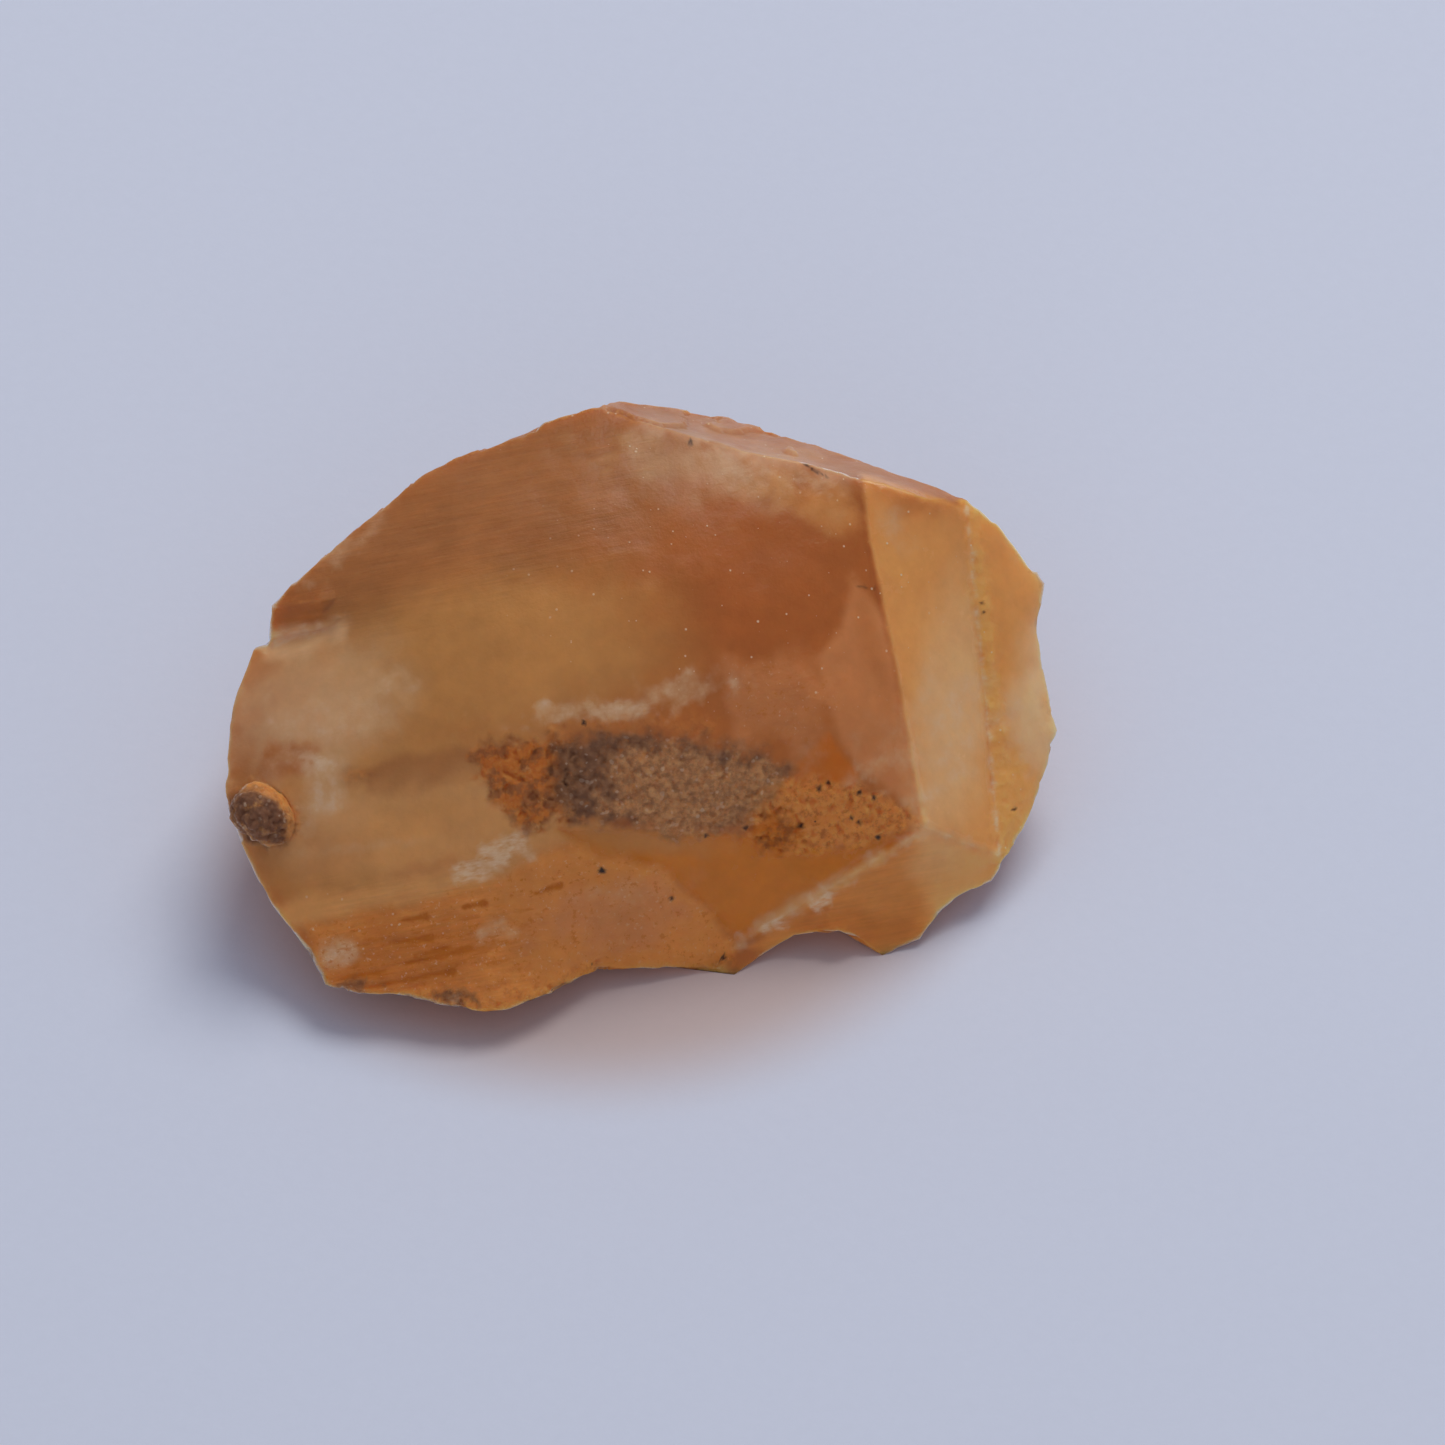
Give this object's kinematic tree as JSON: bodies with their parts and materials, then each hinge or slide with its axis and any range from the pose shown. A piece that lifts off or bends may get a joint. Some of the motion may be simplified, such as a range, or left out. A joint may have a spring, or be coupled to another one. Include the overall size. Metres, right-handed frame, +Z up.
{
  "type": "calcite specimen",
  "caption": "Honey-orange cleavage chunk of translucent calcite, with a domed front, a smooth right cleavage face and a crusted front; rests on a flat patch of its base.",
  "frame": {"origin": "middle of the bounding box on the resting plane, under the chunk", "axes": "+X along the length towards the smooth cleavage end, +Y towards the steep hidden back, +Z up"},
  "size_m": [0.0698, 0.048, 0.0315],
  "materials": {
    "honey_calcite": "translucent honey to red-brown calcite with a waxy gloss, cloudy white veils, grey and rust crust patches, glossy cleavage faces and hackly breaks"
  },
  "bodies": {
    "root": {"calcite_chunk": "honey_calcite"}
  },
  "joints": []
}
